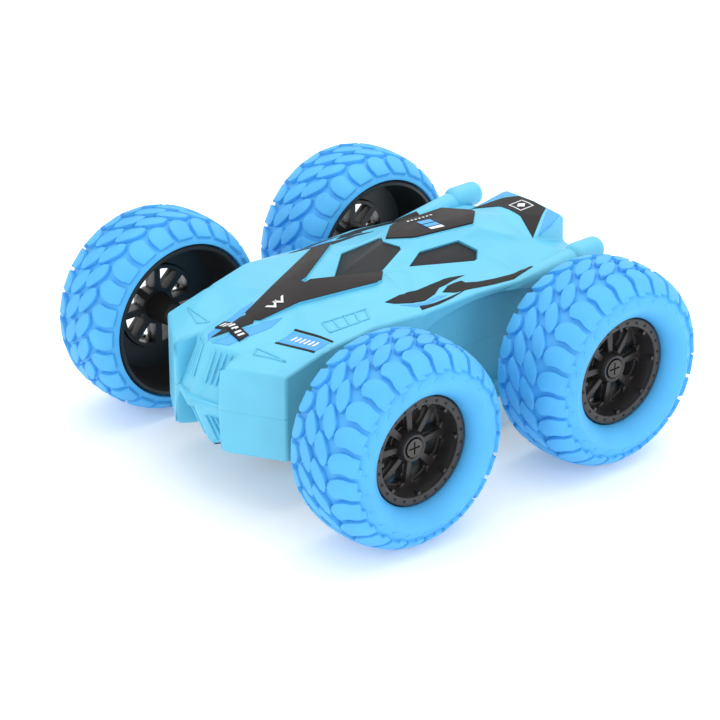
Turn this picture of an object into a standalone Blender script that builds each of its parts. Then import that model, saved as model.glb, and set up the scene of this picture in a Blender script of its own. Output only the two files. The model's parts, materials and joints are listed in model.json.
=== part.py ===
"""Double-sided four-wheel stunt car: a mirrored two-shell body, two motors, a gear
train down each side, and four big wheels on stub axles.

Frame: +Z up, the car faces -Y, +X is its left side. The floor is z = 0 and the
body's parting plane is the axle plane, one wheel radius above the floor.
"""
import math

import bmesh
import bpy
from mathutils import Matrix, Vector

MM = 0.001

# Driving dimensions
WHEEL_RADIUS = 31.0 * MM
HALF_TRACK = 56.0 * MM
HALF_WHEELBASE = 38.5 * MM
TYRE_HALF_WIDTH = 17.5 * MM
GAP = 0.3 * MM
PARTING_GAP = 0.15 * MM

# Wheel, x measured outwards from the wheel's middle plane
WHEEL_SEGMENTS = 24
TYRE_SHOULDER_RADIUS = 19.0 * MM
TYRE_WALL = 2.4 * MM
FLANGE_X = 9.9 * MM
FLANGE_RADIUS = 16.6 * MM
BARREL_X = -15.0 * MM
BARREL_RADIUS = 24.2 * MM
AXLE_RADIUS = 1.5 * MM
BORE_RADIUS = AXLE_RADIUS + GAP
WINDOW_COUNT = 8

# Gear train of one side, x measured from the car's middle plane
CHAIN_TEETH = 16
CHAIN_MODULE = HALF_WHEELBASE * 2 / (4 * CHAIN_TEETH)
CHAIN_X = (18.2 * MM, 21.0 * MM)
SMALL_TEETH = 8
REDUCTION_MODULE = 0.6 * MM
REDUCTION_TEETH = 22
PINION_TEETH = 9
REDUCTION_X = (14.2 * MM, 16.8 * MM)
CLUSTER_ANGLE = math.radians(60)
MOTOR_ANGLE = math.radians(-12)
FRAME_X = (12.1 * MM, 13.6 * MM)
PIN_RADIUS = 1.0 * MM
SHAFT_RADIUS = 0.9 * MM

MOTOR_SIZE = (18.8 * MM, 15.4 * MM, 12.1 * MM)
MOTOR_FRONT_X = FRAME_X[0] - GAP

BATTERY_RADIUS = 7.0 * MM
BATTERY_LENGTH = 36.8 * MM
BATTERY_CENTRE = Vector((0, 27.3 * MM, WHEEL_RADIUS - 16.4 * MM))

DOOR_HALF_WIDTH = 8.2 * MM
DOOR_Y = (7.6 * MM, 47.0 * MM)
DOOR_Z = (24.4 * MM, 26.2 * MM)
DOOR_SEAT_DEPTH = 1.2 * MM
DOOR_HEAD_RADIUS = 2.2 * MM
INLAY_THICKNESS = 0.9 * MM
INLAY_INSET = 0.6 * MM
SWITCH_Y = 54.0 * MM
SWITCH_TRAVEL = 2.4 * MM
SCREW_PLACES = ((17.0, -54.5), (21.0, 54.5))
SCREW_SEAT_Z = 9.2 * MM
SCREW_HOLE_RADIUS = 1.6 * MM
AXLE_HOLE_RADIUS = 3.6 * MM
POD_RADIUS = 3.8 * MM
POD_PLACE = (27.6 * MM, 62.6 * MM, 18.9 * MM)
RECESS_X = 24.4 * MM

# Corner points of one quarter of the body, in millimetres from the car's centre:
# x outwards, y rearwards, z away from the parting plane.
CORNERS = {
    "nose_ridge": (0, -68.5, 0), "nose_ridge_side": (9.2, -65, 0),
    "nose_tip": (0, -62, 16), "nose_top_side": (9.2, -57.5, 14.6),
    "block_in_low": (10.4, -66.3, 0), "block_in_top": (10.4, -66.3, 13.4),
    "block_out_low": (28, -55.5, 0), "block_out_top": (28, -55.5, 13.4),
    "crease_mid": (0, -46, 19.4), "vee_edge_front": (3.2, -46.5, 18.6),
    "vee_edge_mid": (8, -34.5, 21.2), "vee_split": (0, -25.8, 24.4),
    "vee_outer": (15.9, -10.2, 24.8), "vee_inner": (12.6, -5, 25.6),
    "hood_valley": (12, -44, 17.0),
    "screen_foot": (0, -16, 22.4), "screen_side": (9.7, -2.6, 24.0),
    "screen_top": (5.1, 7.2, 27.9), "roof_tip": (0, 3.9, 29.1),
    "roof_front": (6, 10.7, 29.5), "roof_rear": (8.4, 33.3, 28.4), "roof_tail": (0, 40.5, 28.1),
    "glass_low_front": (12, 2.9, 24.1), "glass_up_front": (8.2, 9.5, 27.4),
    "glass_up_rear": (9.6, 27.5, 26.8), "glass_rear": (14.4, 30.6, 23.0), "glass_low_rear": (16.2, 26.6, 21.4),
    "shoulder_1": (28, -40, 17.6), "shoulder_2": (29.5, -26, 20.0), "shoulder_3": (29.5, -5, 18.8),
    "shoulder_4": (29.5, 16, 19.2), "shoulder_5": (29, 37, 17.4), "shoulder_6": (28.5, 60, 16.5),
    "deck_centre": (0, 50, 24.8), "deck_side": (14.5, 50, 21.2),
    "wing_centre": (0, 64.5, 25.4), "wing_corner": (13.2, 64.8, 24.6),
    "wing_drop": (13.2, 65, 16.5), "wing_drop_centre": (0, 65, 16.5),
    "tail_low": (0, 63.5, 0), "tail_low_mid": (13.2, 63, 0), "tail_low_out": (28, 58, 0),
    "side_low_1": (28, -40, 0), "side_low_2": (27.5, -26, 0), "side_low_3": (25.0, -5, 0),
    "side_low_4": (25.0, 16, 0), "side_low_5": (25.0, 37, 0),
}

VEE_FACES = [
    ("nose_tip", "vee_edge_front", "crease_mid"),
    ("crease_mid", "vee_edge_front", "vee_edge_mid", "vee_split"),
    ("vee_split", "vee_edge_mid", "vee_outer", "vee_inner"),
]
SCREEN_FACES = [("screen_foot", "screen_side", "screen_top", "roof_tip")]
ROOF_FACES = [("roof_tip", "roof_front", "roof_rear", "roof_tail")]
GLASS_FACES = [("glass_low_front", "glass_low_rear", "glass_rear", "glass_up_rear", "glass_up_front")]
BODY_FACES = VEE_FACES + SCREEN_FACES + ROOF_FACES + GLASS_FACES + [
    ("nose_ridge", "nose_ridge_side", "nose_top_side", "nose_tip"),
    ("nose_ridge_side", "block_in_low", "block_in_top"),
    ("nose_ridge_side", "block_in_top", "nose_top_side"),
    ("block_in_low", "block_out_low", "block_out_top", "block_in_top"),
    ("nose_tip", "nose_top_side", "hood_valley", "vee_edge_front"),
    ("vee_edge_front", "hood_valley", "vee_edge_mid"),
    ("nose_top_side", "block_in_top", "hood_valley"),
    ("block_in_top", "block_out_top", "shoulder_1", "hood_valley"),
    ("vee_edge_mid", "hood_valley", "shoulder_1"),
    ("vee_edge_mid", "shoulder_1", "shoulder_2"),
    ("vee_edge_mid", "shoulder_2", "vee_outer"),
    ("vee_outer", "shoulder_2", "shoulder_3"),
    ("vee_split", "vee_inner", "screen_side", "screen_foot"),
    ("vee_inner", "vee_outer", "shoulder_3", "glass_low_front"),
    ("vee_inner", "glass_low_front", "screen_side"),
    ("screen_side", "glass_low_front", "glass_up_front", "screen_top"),
    ("screen_top", "glass_up_front", "roof_front"),
    ("screen_top", "roof_front", "roof_tip"),
    ("roof_front", "glass_up_front", "glass_up_rear", "roof_rear"),
    ("glass_low_front", "shoulder_3", "shoulder_4"),
    ("glass_low_front", "shoulder_4", "glass_low_rear"),
    ("glass_low_rear", "shoulder_4", "shoulder_5"),
    ("glass_low_rear", "shoulder_5", "glass_rear"),
    ("glass_rear", "shoulder_5", "deck_side"),
    ("shoulder_5", "shoulder_6", "deck_side"),
    ("glass_up_rear", "glass_rear", "deck_side", "roof_rear"),
    ("roof_rear", "deck_side", "deck_centre", "roof_tail"),
    ("deck_centre", "deck_side", "wing_corner", "wing_centre"),
    ("deck_side", "shoulder_6", "wing_drop"),
    ("deck_side", "wing_drop", "wing_corner"),
    ("wing_corner", "wing_drop", "wing_drop_centre", "wing_centre"),
    ("wing_drop_centre", "wing_drop", "tail_low_mid", "tail_low"),
    ("wing_drop", "shoulder_6", "tail_low_out", "tail_low_mid"),
    ("block_out_low", "side_low_1", "shoulder_1", "block_out_top"),
    ("side_low_1", "side_low_2", "shoulder_2", "shoulder_1"),
    ("side_low_2", "side_low_3", "shoulder_3", "shoulder_2"),
    ("side_low_3", "side_low_4", "shoulder_4", "shoulder_3"),
    ("side_low_4", "side_low_5", "shoulder_5", "shoulder_4"),
    ("side_low_5", "tail_low_out", "shoulder_6", "shoulder_5"),
    ("nose_ridge", "nose_ridge_side", "block_in_low", "block_out_low", "side_low_1", "side_low_2",
     "side_low_3", "side_low_4", "side_low_5", "tail_low_out", "tail_low_mid", "tail_low"),
]

# Room inside each shell: half width, y range and depth from the parting plane
UPPER_ROOMS = (
    (21.8, -50.5, 50.5, 12.0),
    (21.7, -14.8, 14.8, 18.9),
    (17.3, -15.2, 15.2, 20.1),
    (17.2, -21.0, 21.0, 14.2),
    (14.0, -26.5, 26.5, 17.4),
    (9.2, -12.0, 38.0, 22.0),
)
LOWER_ROOMS = (
    (21.8, -50.5, 50.5, 12.0),
    (8.2, 7.6, 47.0, 25.0),
)


# Arched recess in each side wall between the wheels, as (y, height from the parting plane)
SIDE_RECESS = (
    (-13.0, -1.0), (-12.2, 3.0), (-9.8, 7.4), (-5.6, 11.4), (0.0, 14.2), (6.5, 16.0), (14.0, 17.0),
    (23.0, 16.8), (32.0, 15.6), (40.0, 13.8), (46.0, 12.0), (47.5, 8.0), (47.5, -1.0),
)


def clear_scene():
    for item in list(bpy.data.objects):
        bpy.data.objects.remove(item, do_unlink=True)


def new_collection(name):
    group = bpy.data.collections.new(name)
    bpy.context.scene.collection.children.link(group)
    return group


def new_material(name, colour, roughness, metallic=0.0):
    material = bpy.data.materials.new(name)
    material.use_nodes = True
    shader = material.node_tree.nodes["Principled BSDF"]
    shader.inputs["Base Color"].default_value = (*colour, 1)
    shader.inputs["Roughness"].default_value = roughness
    shader.inputs["Metallic"].default_value = metallic
    return material


def place(name, mesh, material, location=(0, 0, 0), smooth=True):
    """Put a mesh in the car's collection as one named sub-part."""
    thing = bpy.data.objects.new(name, mesh)
    thing.location = location
    if material:
        mesh.materials.clear()
        mesh.materials.append(material)
    if smooth:
        mesh.shade_smooth()
        mesh.set_sharp_from_angle(angle=math.radians(35))
    CAR.objects.link(thing)
    return thing


def mesh_from(bm, name):
    bmesh.ops.recalc_face_normals(bm, faces=bm.faces)
    mesh = bpy.data.meshes.new(name)
    bm.to_mesh(mesh)
    bm.free()
    return mesh


def cutter(name, mesh, location=(0, 0, 0)):
    tool = bpy.data.objects.new(name, mesh)
    tool.location = location
    tool.hide_render = True
    tool.display_type = "WIRE"
    TOOLS.objects.link(tool)
    return tool


def boolean(target, tool, operation="DIFFERENCE"):
    modifier = target.modifiers.new(tool.name, "BOOLEAN")
    modifier.operation = operation
    modifier.solver = "EXACT"
    modifier.object = tool


def box_mesh(name, low, high, bevel=0.0):
    bm = bmesh.new()
    bmesh.ops.create_cube(bm, size=1)
    low, high = Vector(low), Vector(high)
    bmesh.ops.scale(bm, vec=high - low, verts=bm.verts)
    bmesh.ops.translate(bm, vec=(low + high) / 2, verts=bm.verts)
    if bevel:
        bmesh.ops.bevel(bm, geom=bm.edges[:], offset=bevel, segments=1, profile=0.5, affect="EDGES")
    return mesh_from(bm, name)


def rod_mesh(name, radius, x_start, x_end, segments=16):
    """A solid round bar along X."""
    bm = bmesh.new()
    turn = Matrix.Rotation(math.radians(90), 4, "Y")
    bmesh.ops.create_cone(bm, cap_ends=True, segments=segments, radius1=radius, radius2=radius,
                          depth=abs(x_end - x_start), matrix=turn)
    bmesh.ops.translate(bm, vec=((x_start + x_end) / 2, 0, 0), verts=bm.verts)
    return mesh_from(bm, name)


def turned_mesh(name, profile, segments):
    """A closed profile of (x, radius) points turned about the X axis."""
    bm = bmesh.new()
    ring = [bm.verts.new((x, 0, -radius)) for x, radius in profile]
    edges = [bm.edges.new((ring[i], ring[(i + 1) % len(ring)])) for i in range(len(ring))]
    bmesh.ops.spin(bm, geom=ring + edges, cent=(0, 0, 0), axis=(1, 0, 0), dvec=(0, 0, 0),
                   angle=math.tau, steps=segments, use_merge=True)
    return mesh_from(bm, name)


def mirrored(mesh, side):
    """Flip a mesh to the car's other side (side = -1), or leave it (side = 1)."""
    if side < 0:
        mesh.transform(Matrix.Scale(-1, 4, (1, 0, 0)))
        mesh.flip_normals()
    return mesh


# ---------------------------------------------------------------- body shells

def corner(name, side, level):
    x, y, z = CORNERS[name]
    z = max(z * MM, PARTING_GAP)
    return Vector((x * MM * side, y * MM, WHEEL_RADIUS + level * z))


def body_faces(bm, face_names, level, sides=(1, -1)):
    """Add named faces, on both sides of the middle plane by default. A four-cornered face
    need not be flat, so it is folded along its first diagonal."""
    made = {}
    for side in sides:
        for names in face_names:
            ring = []
            for name in names:
                key = (name, side if CORNERS[name][0] else 0)
                if key not in made:
                    made[key] = bm.verts.new(corner(name, side, level))
                ring.append(made[key])
            pieces = [ring] if len(ring) != 4 else [ring[:3], [ring[0], ring[2], ring[3]]]
            for piece in pieces:
                bm.faces.new(piece)
    bmesh.ops.recalc_face_normals(bm, faces=bm.faces)


def axle_holes(shell, radius):
    for end in (-1, 1):
        tool = cutter("axle_hole", rod_mesh("axle_hole", radius, -40 * MM, 40 * MM),
                      (0, end * HALF_WHEELBASE, WHEEL_RADIUS))
        boolean(shell, tool)


def shell(name, level, rooms):
    bm = bmesh.new()
    body_faces(bm, BODY_FACES, level)
    body = place(name, mesh_from(bm, name), BODY_BLUE, smooth=False)
    for half, y_front, y_rear, depth in rooms:
        ends = sorted((WHEEL_RADIUS - level * MM, WHEEL_RADIUS + level * depth * MM))
        room = box_mesh("room", (-half * MM, y_front * MM, ends[0]), (half * MM, y_rear * MM, ends[1]))
        boolean(body, cutter("room", room))
    axle_holes(body, AXLE_HOLE_RADIUS)
    for side in (-1, 1):
        outline = [(y * MM, z * MM * level) for y, z in SIDE_RECESS]
        recess = flat_mesh("side_recess", [outline], RECESS_X, 40 * MM)
        boolean(body, cutter("side_recess", mirrored(recess, side), (0, 0, WHEEL_RADIUS)))
    for side in (-1, 1):
        x, y, z = POD_PLACE
        stub = rod_mesh("pod", POD_RADIUS, -14 * MM, 3.4 * MM, 12)
        stub.transform(Matrix.Rotation(math.radians(90), 4, "Z"))
        boolean(body, cutter("pod", stub, (side * x, y, WHEEL_RADIUS + level * z)), "UNION")
    for x, y in SCREW_PLACES:
        for side in (-1, 1):
            shank = rod_mesh("screw_hole", SCREW_HOLE_RADIUS, -14 * MM, 9 * MM, 12)
            shank.transform(Matrix.Rotation(math.radians(-90), 4, "Y"))
            boolean(body, cutter("screw_hole", shank, (side * x * MM, y * MM, WHEEL_RADIUS)))
            if level < 0:
                head = rod_mesh("screw_seat", 3.1 * MM, -40 * MM, -SCREW_SEAT_Z, 16)
                head.transform(Matrix.Rotation(math.radians(-90), 4, "Y"))
                boolean(body, cutter("screw_seat", head, (side * x * MM, y * MM, WHEEL_RADIUS)))
    return body


def inlay(name, face_names, level, material, sides=(1, -1), lift=GAP):
    """A thin moulded panel that lies on the shell, a little smaller than its seat."""
    bm = bmesh.new()
    body_faces(bm, face_names, level, sides)
    for face in bm.faces:
        if face.normal.z * level < 0:
            face.normal_flip()
    border = bmesh.ops.inset_region(bm, faces=bm.faces[:], thickness=INLAY_INSET, depth=0,
                                    use_boundary=True, use_even_offset=True)
    bmesh.ops.delete(bm, geom=border["faces"], context="FACES")
    bm.normal_update()
    for vert in bm.verts:
        vert.co += vert.normal * lift
    mesh = bpy.data.meshes.new(name)
    bm.to_mesh(mesh)
    bm.free()
    panel = place(name, mesh, material, smooth=False)
    modifier = panel.modifiers.new("thickness", "SOLIDIFY")
    modifier.thickness = INLAY_THICKNESS
    modifier.offset = 1
    return panel


def battery_door():
    low = (-DOOR_HALF_WIDTH + GAP, DOOR_Y[0] + GAP, WHEEL_RADIUS - DOOR_Z[1])
    high = (DOOR_HALF_WIDTH - GAP, DOOR_Y[1] - GAP, WHEEL_RADIUS - DOOR_Z[0])
    door = place("battery_door", box_mesh("battery_door", low, high, 0.4 * MM), BODY_BLUE, smooth=False)
    hole = rod_mesh("door_screw_hole", 1.5 * MM, -3 * MM, 3 * MM, 12)
    hole.transform(Matrix.Rotation(math.radians(90), 4, "Y"))
    seat = rod_mesh("door_screw_seat", DOOR_HEAD_RADIUS + GAP, -DOOR_SEAT_DEPTH, DOOR_SEAT_DEPTH, 16)
    seat.transform(Matrix.Rotation(math.radians(90), 4, "Y"))
    place_at = Vector((0, DOOR_Y[1] - 4 * MM, WHEEL_RADIUS - DOOR_Z[1]))
    boolean(door, cutter("door_screw_hole", hole, place_at))
    boolean(door, cutter("door_screw_seat", seat, place_at))
    place_at.z += DOOR_SEAT_DEPTH - GAP
    screw("door_screw", place_at, DOOR_HEAD_RADIUS, 1.1 * MM, 0.8 * MM, 1.2 * MM)


def screw(name, place_at, head_radius, shank_radius, head_depth, length, axis="Z"):
    """A pan-head screw with a cross recess: head outwards (down, or +X), shank the other way."""
    head = rod_mesh(name, head_radius, 0, head_depth, 12)
    thing = place(name, head, STEEL, place_at)
    shank = rod_mesh("shank", shank_radius, -length, head_depth / 2, 12)
    slot_a = box_mesh("slot", (head_depth * 0.5, -0.25 * MM, -head_radius * 0.7),
                      (head_depth * 2, 0.25 * MM, head_radius * 0.7))
    slot_b = box_mesh("slot", (head_depth * 0.5, -head_radius * 0.7, -0.25 * MM),
                      (head_depth * 2, head_radius * 0.7, 0.25 * MM))
    tools = [("UNION", shank), ("DIFFERENCE", slot_a), ("DIFFERENCE", slot_b)]
    for operation, mesh in tools:
        boolean(thing, cutter(name + "_tool", mesh, place_at), operation)
    turn = {"Z": Matrix.Rotation(math.radians(90), 4, "Y"),
            "-X": Matrix.Rotation(math.radians(180), 4, "Z")}.get(axis)
    if turn:
        for mesh in [head, shank, slot_a, slot_b]:
            mesh.transform(turn)
    return thing


def shell_screws():
    for end, (x, y) in zip(("front", "rear"), SCREW_PLACES):
        for side_name, side in (("left", 1), ("right", -1)):
            screw(f"shell_screw_{end}_{side_name}", (side * x * MM, y * MM, WHEEL_RADIUS - SCREW_SEAT_Z - GAP),
                  2.6 * MM, 1.2 * MM, 1.5 * MM, 15 * MM)


# ---------------------------------------------------------------- wheels

def tyre_profile():
    """Hollow tyre: a rounded square outside with a sidewall sloping in to the rim, and a
    channel open to the rim inside."""
    crown = WHEEL_RADIUS - TYRE_SHOULDER_RADIUS
    outside = []
    steps = 8
    for i in range(steps + 1):
        angle = math.pi * i / steps
        c, s = math.cos(angle), math.sin(angle)
        power = 2 / 2.6
        outside.append((TYRE_HALF_WIDTH * math.copysign(abs(c) ** power, c),
                        TYRE_SHOULDER_RADIUS + crown * abs(s) ** power))
    scale_x = 1 - TYRE_WALL / TYRE_HALF_WIDTH
    inside = [(x * scale_x, TYRE_SHOULDER_RADIUS + (r - TYRE_SHOULDER_RADIUS) * (1 - TYRE_WALL / crown))
              for x, r in outside[1:-3]]
    inner_bead = [(BARREL_X, BARREL_RADIUS + 2 * GAP), (BARREL_X + 3 * MM, BARREL_RADIUS + 2 * GAP)]
    outer_bead = [(11.4 * MM, 19.0 * MM), (FLANGE_X - 2.5 * MM, 18.6 * MM), (FLANGE_X, FLANGE_RADIUS + 1.5 * GAP)]
    sidewall = [(13.0 * MM, 18.0 * MM), (15.3 * MM, 19.9 * MM), (16.9 * MM, 22.6 * MM)]
    keep = [p for p in outside if p[1] > BARREL_RADIUS + 1.5 * MM or (p[0] > 0 and p[1] > sidewall[-1][1])]
    return sidewall + keep + inner_bead + inside[::-1] + outer_bead


def rim_profile():
    return [(x * MM, r * MM) for x, r in (
        (9.9, 16.6), (9.9, 14.2), (5.0, 13.2), (4.6, 5.0), (7.6, 4.6), (7.6, 3.4), (6.2, 3.2), (6.2, 1.8),
        (-8.0, 1.8), (-8.0, 3.6), (2.4, 4.6), (2.4, 13.6), (1.4, 20.2), (-15.0, 22.8), (-15.0, 24.2),
        (2.6, 21.4), (4.4, 17.2))]


def rim_windows(rim):
    """Eight tapered holes through the wheel disc, between hub and flange."""
    inner, outer = 6.2 * MM, 12.2 * MM
    half_in, half_out = math.radians(12.0), math.radians(14.5)
    for index in range(WINDOW_COUNT):
        bm = bmesh.new()
        middle = math.tau * (index + 0.5) / WINDOW_COUNT
        ring = [(inner, -half_in), (outer, -half_out), (outer, half_out), (inner, half_in)]
        verts = [bm.verts.new((0, r * math.cos(middle + a), r * math.sin(middle + a))) for r, a in ring]
        face = bm.faces.new(verts)
        grown = bmesh.ops.extrude_face_region(bm, geom=[face])["geom"]
        bmesh.ops.translate(bm, vec=(8 * MM, 0, 0), verts=[v for v in grown if isinstance(v, bmesh.types.BMVert)])
        boolean(rim, cutter("rim_window", mesh_from(bm, "rim_window"), rim.location))


def wheel(end_name, end, side_name, side):
    centre = Vector((side * HALF_TRACK, end * HALF_WHEELBASE, WHEEL_RADIUS))
    tag = f"{end_name}_{side_name}"
    tyre = mirrored(turned_mesh("tyre", tyre_profile(), WHEEL_SEGMENTS), side)
    place(f"tyre_{tag}", tyre, TYRE_BLUE, centre)
    rim = place(f"rim_{tag}", mirrored(turned_mesh("rim", rim_profile(), WHEEL_SEGMENTS), side), RIM_BLACK, centre)
    before = set(TOOLS.objects)
    rim_windows(rim)
    if side < 0:
        for tool in set(TOOLS.objects) - before:
            mirrored(tool.data, side)
    inner_end, outer_end = FRAME_X[0] - 1.1 * MM - HALF_TRACK, 5.6 * MM
    place(f"axle_{tag}", mirrored(rod_mesh("axle", AXLE_RADIUS, inner_end, outer_end, 12), side), STEEL, centre)
    screw(f"hub_screw_{tag}", centre + Vector((side * 6.5 * MM, 0, 0)), 2.8 * MM, 1.1 * MM, 1.2 * MM, 0.5 * MM,
          "X" if side > 0 else "-X")
    bush = mirrored(turned_mesh("bush", [(x * MM, r * MM) for x, r in (
        (22.2, 1.8), (22.2, 3.2), (25.6, 3.2), (25.6, 1.8))], 12), side)
    place(f"bush_{tag}", bush, BRASS, (0, centre.y, centre.z))


# ---------------------------------------------------------------- gears

def gear_outline(teeth, module, phase):
    """Trapezoid teeth with backlash; a tooth's middle points along phase."""
    pitch_radius = teeth * module / 2
    tip, root = pitch_radius + 0.8 * module, pitch_radius - 1.1 * module
    step = math.tau / teeth
    points = []
    for index in range(teeth):
        middle = phase + index * step
        for radius, offset in ((root, -0.26), (tip, -0.11), (tip, 0.11), (root, 0.26)):
            angle = middle + offset * step
            points.append((radius * math.cos(angle), radius * math.sin(angle)))
    return points


def flat_mesh(name, outlines, x_start, x_end):
    """Outlines in the YZ plane, holes included, as a plate between two x values."""
    curve = bpy.data.curves.new(name, "CURVE")
    curve.dimensions = "2D"
    curve.fill_mode = "BOTH"
    curve.extrude = abs(x_end - x_start) / 2
    for points in outlines:
        spline = curve.splines.new("POLY")
        spline.points.add(len(points) - 1)
        for point, (y, z) in zip(spline.points, points):
            point.co = (y, z, 0, 1)
        spline.use_cyclic_u = True
    holder = bpy.data.objects.new(name, curve)
    TOOLS.objects.link(holder)
    bpy.context.view_layer.update()
    mesh = bpy.data.meshes.new_from_object(holder.evaluated_get(bpy.context.evaluated_depsgraph_get()))
    bpy.data.objects.remove(holder)
    bm = bmesh.new()
    bm.from_mesh(mesh)
    bmesh.ops.remove_doubles(bm, verts=bm.verts, dist=0.001 * MM)
    turn = Matrix(((0, 0, 1, 0), (1, 0, 0, 0), (0, 1, 0, 0), (0, 0, 0, 1)))
    bmesh.ops.transform(bm, matrix=turn, verts=bm.verts)
    bmesh.ops.translate(bm, vec=((x_start + x_end) / 2, 0, 0), verts=bm.verts)
    return mesh_from(bm, name)


def circle(radius, segments=12, centre=(0, 0)):
    return [(centre[0] + radius * math.cos(math.tau * i / segments),
             centre[1] + radius * math.sin(math.tau * i / segments)) for i in range(segments)]


def mesh_phase(teeth_a, phase_a, direction, teeth_b):
    """The phase of gear B, lying in the given direction from gear A, that meshes with A."""
    pitch_a, pitch_b = math.tau / teeth_a, math.tau / teeth_b
    fraction_a = ((direction - phase_a) / pitch_a) % 1
    return direction + math.pi - pitch_b * (0.5 - fraction_a)


def side_gears(side_name, side):
    """Five equal gears in line from axle to axle, a two-step cluster and the motor's pinion.
    The right side is the left side turned half round about the vertical axis."""
    step = HALF_WHEELBASE / 2
    half_pitch = math.pi / CHAIN_TEETH
    turn = Matrix.Rotation(0 if side > 0 else math.pi, 4, "Z")

    def put(name, mesh, material, y, z):
        mesh.transform(turn)
        return place(name, mesh, material, (0, side * y, WHEEL_RADIUS + z), smooth=False)

    names = {-2: "axle_gear_front", -1: "idler_front", 0: "idler_middle", 1: "idler_rear", 2: "axle_gear_rear"}
    if side < 0:
        names = {-index: name for index, name in names.items()}
    for index, name in names.items():
        bore = BORE_RADIUS if abs(index) == 2 else PIN_RADIUS + GAP
        outline = gear_outline(CHAIN_TEETH, CHAIN_MODULE, half_pitch * (index % 2))
        gear = flat_mesh(name, [outline, circle(bore)], *CHAIN_X)
        put(f"{name}_{side_name}", gear, GEAR_WHITE, index * step, 0)

    reach = CHAIN_MODULE * (CHAIN_TEETH + SMALL_TEETH) / 2
    cluster_y, cluster_z = reach * math.cos(CLUSTER_ANGLE), reach * math.sin(CLUSTER_ANGLE)
    small_phase = mesh_phase(CHAIN_TEETH, 0, CLUSTER_ANGLE, SMALL_TEETH)
    big = flat_mesh("cluster", [gear_outline(REDUCTION_TEETH, REDUCTION_MODULE, MOTOR_ANGLE),
                                circle(PIN_RADIUS + GAP)], *REDUCTION_X)
    cluster = put(f"cluster_gear_{side_name}", big, GEAR_WHITE, cluster_y, cluster_z)
    small = flat_mesh("small_gear", [gear_outline(SMALL_TEETH, CHAIN_MODULE, small_phase),
                                     circle(PIN_RADIUS + GAP)], REDUCTION_X[1] - 0.5 * MM, CHAIN_X[1])
    small.transform(turn)
    boolean(cluster, cutter("small_gear", small, cluster.location), "UNION")

    motor_reach = REDUCTION_MODULE * (REDUCTION_TEETH + PINION_TEETH) / 2
    motor_y = cluster_y + motor_reach * math.cos(MOTOR_ANGLE)
    motor_z = cluster_z + motor_reach * math.sin(MOTOR_ANGLE)
    pinion_phase = mesh_phase(REDUCTION_TEETH, MOTOR_ANGLE, MOTOR_ANGLE, PINION_TEETH)
    teeth = flat_mesh("pinion", [gear_outline(PINION_TEETH, REDUCTION_MODULE, pinion_phase)], *REDUCTION_X)
    pinion = put(f"motor_pinion_{side_name}", teeth, BRASS, motor_y, motor_z)
    shaft = rod_mesh("shaft", SHAFT_RADIUS, MOTOR_FRONT_X + GAP, REDUCTION_X[0] + 1 * MM, 12)
    shaft.transform(turn)
    boolean(pinion, cutter("shaft", shaft, pinion.location), "UNION")

    length, width, height = MOTOR_SIZE
    can = rod_mesh("motor", width / 2, MOTOR_FRONT_X - length, MOTOR_FRONT_X, 20)
    motor = put(f"motor_{side_name}", can, STEEL, motor_y, motor_z)
    flats = box_mesh("motor_flats", (-40 * MM, -20 * MM, -height / 2), (40 * MM, 20 * MM, height / 2))
    boolean(motor, cutter("motor_flats", flats, motor.location), "INTERSECT")

    pins = [(0, 0), (step, 0), (-step, 0), (cluster_y, cluster_z)]
    outline = [(-45 * MM, -5 * MM), (45 * MM, -5 * MM), (45 * MM, 5 * MM), (26 * MM, 8 * MM),
               (23 * MM, 15.5 * MM), (0, 15.5 * MM), (-8 * MM, 5 * MM), (-45 * MM, 5 * MM)]
    holes = [circle(BORE_RADIUS, 12, (2 * step, 0)), circle(BORE_RADIUS, 12, (-2 * step, 0)),
             circle(SHAFT_RADIUS + GAP, 12, (motor_y, motor_z))]
    plate = put(f"gear_frame_{side_name}", flat_mesh("gear_frame", [outline] + holes, *FRAME_X), FRAME_BLACK, 0, 0)
    for y, z in pins:
        pin = rod_mesh("pin", PIN_RADIUS, FRAME_X[0] + 0.5 * MM, CHAIN_X[1] + 0.6 * MM, 12)
        pin.transform(Matrix.Translation((0, y, z)))
        pin.transform(turn)
        boolean(plate, cutter("pin", pin, plate.location), "UNION")


# ---------------------------------------------------------------- electrics

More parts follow.
